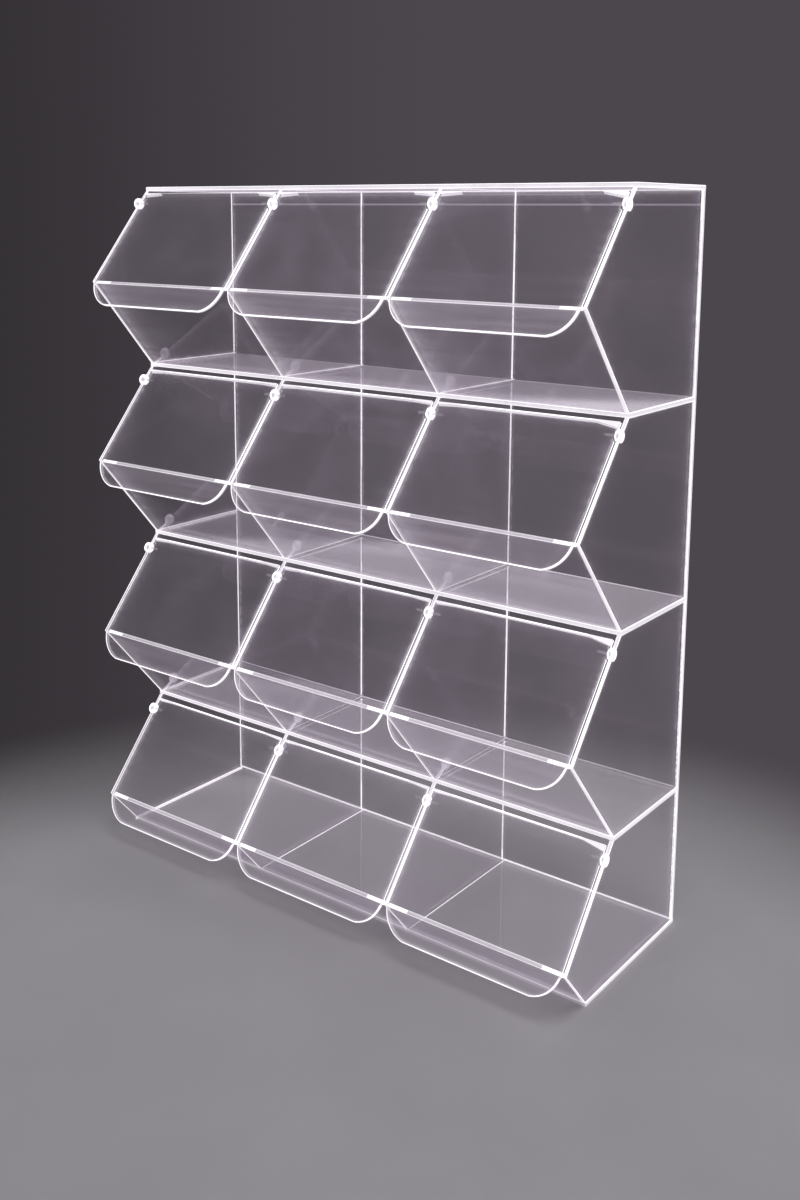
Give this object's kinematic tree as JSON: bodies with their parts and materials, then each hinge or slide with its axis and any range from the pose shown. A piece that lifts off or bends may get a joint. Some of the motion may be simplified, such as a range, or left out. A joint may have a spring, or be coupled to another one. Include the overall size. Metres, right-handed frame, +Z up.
{
  "type": "candy organizer",
  "caption": "Tiered clear acrylic candy organizer: stacked bins with sloping fronts, each closed by a pivoting lid with a rounded pull lip.",
  "frame": {"origin": "centre of the underside of the base panel", "axes": "+X to the right seen from the front, +Y to the back, +Z up"},
  "size_m": [0.453, 0.1723, 0.552],
  "materials": {
    "clear_sheet": "polished clear acrylic",
    "clear_lid": "polished clear acrylic, line bent",
    "clear_pin": "clear acrylic rod"
  },
  "bodies": {
    "frame": {"base_panel": "clear_sheet", "back_panel": "clear_sheet", "top_panel": "clear_sheet", "first_shelf": "clear_sheet", "second_shelf": "clear_sheet", "third_shelf": "clear_sheet", "top_left_wall": "clear_sheet", "top_left_divider": "clear_sheet", "top_right_divider": "clear_sheet", "top_right_wall": "clear_sheet", "upper_left_wall": "clear_sheet", "upper_left_divider": "clear_sheet", "upper_right_divider": "clear_sheet", "upper_right_wall": "clear_sheet", "lower_left_wall": "clear_sheet", "lower_left_divider": "clear_sheet", "lower_right_divider": "clear_sheet", "lower_right_wall": "clear_sheet", "bottom_left_wall": "clear_sheet", "bottom_left_divider": "clear_sheet", "bottom_right_divider": "clear_sheet", "bottom_right_wall": "clear_sheet", "top_left_front": "clear_sheet", "top_middle_front": "clear_sheet", "top_right_front": "clear_sheet", "upper_left_front": "clear_sheet", "upper_middle_front": "clear_sheet", "upper_right_front": "clear_sheet", "lower_left_front": "clear_sheet", "lower_middle_front": "clear_sheet", "lower_right_front": "clear_sheet", "bottom_left_front": "clear_sheet", "bottom_middle_front": "clear_sheet", "bottom_right_front": "clear_sheet", "divider_discs": "clear_sheet", "end_discs": "clear_sheet", "divider_pins": "clear_pin", "end_pins": "clear_pin"},
    "top_left_lid": {"top_left_lid": "clear_lid"},
    "top_middle_lid": {"top_middle_lid": "clear_lid"},
    "top_right_lid": {"top_right_lid": "clear_lid"},
    "upper_left_lid": {"upper_left_lid": "clear_lid"},
    "upper_middle_lid": {"upper_middle_lid": "clear_lid"},
    "upper_right_lid": {"upper_right_lid": "clear_lid"},
    "lower_left_lid": {"lower_left_lid": "clear_lid"},
    "lower_middle_lid": {"lower_middle_lid": "clear_lid"},
    "lower_right_lid": {"lower_right_lid": "clear_lid"},
    "bottom_left_lid": {"bottom_left_lid": "clear_lid"},
    "bottom_middle_lid": {"bottom_middle_lid": "clear_lid"},
    "bottom_right_lid": {"bottom_right_lid": "clear_lid"}
  },
  "joints": [
    {"name": "top_left_lid_hinge", "type": "hinge", "parent": "frame", "child": "top_left_lid", "pos_m": [-0.15, -0.04444, 0.53832], "axis": [-1, 0, 0], "range_deg": [0, 166]},
    {"name": "top_middle_lid_hinge", "type": "hinge", "parent": "frame", "child": "top_middle_lid", "pos_m": [0, -0.04444, 0.53832], "axis": [-1, 0, 0], "range_deg": [0, 166]},
    {"name": "top_right_lid_hinge", "type": "hinge", "parent": "frame", "child": "top_right_lid", "pos_m": [0.15, -0.04444, 0.53832], "axis": [-1, 0, 0], "range_deg": [0, 166]},
    {"name": "upper_left_lid_hinge", "type": "hinge", "parent": "frame", "child": "upper_left_lid", "pos_m": [-0.15, -0.04444, 0.39132], "axis": [-1, 0, 0], "range_deg": [0, 97]},
    {"name": "upper_middle_lid_hinge", "type": "hinge", "parent": "frame", "child": "upper_middle_lid", "pos_m": [0, -0.04444, 0.39132], "axis": [-1, 0, 0], "range_deg": [0, 97]},
    {"name": "upper_right_lid_hinge", "type": "hinge", "parent": "frame", "child": "upper_right_lid", "pos_m": [0.15, -0.04444, 0.39132], "axis": [-1, 0, 0], "range_deg": [0, 97]},
    {"name": "lower_left_lid_hinge", "type": "hinge", "parent": "frame", "child": "lower_left_lid", "pos_m": [-0.15, -0.04444, 0.24432], "axis": [-1, 0, 0], "range_deg": [0, 97]},
    {"name": "lower_middle_lid_hinge", "type": "hinge", "parent": "frame", "child": "lower_middle_lid", "pos_m": [0, -0.04444, 0.24432], "axis": [-1, 0, 0], "range_deg": [0, 97]},
    {"name": "lower_right_lid_hinge", "type": "hinge", "parent": "frame", "child": "lower_right_lid", "pos_m": [0.15, -0.04444, 0.24432], "axis": [-1, 0, 0], "range_deg": [0, 97]},
    {"name": "bottom_left_lid_hinge", "type": "hinge", "parent": "frame", "child": "bottom_left_lid", "pos_m": [-0.15, -0.04444, 0.09732], "axis": [-1, 0, 0], "range_deg": [0, 97]},
    {"name": "bottom_middle_lid_hinge", "type": "hinge", "parent": "frame", "child": "bottom_middle_lid", "pos_m": [0, -0.04444, 0.09732], "axis": [-1, 0, 0], "range_deg": [0, 97]},
    {"name": "bottom_right_lid_hinge", "type": "hinge", "parent": "frame", "child": "bottom_right_lid", "pos_m": [0.15, -0.04444, 0.09732], "axis": [-1, 0, 0], "range_deg": [0, 97]}
  ]
}
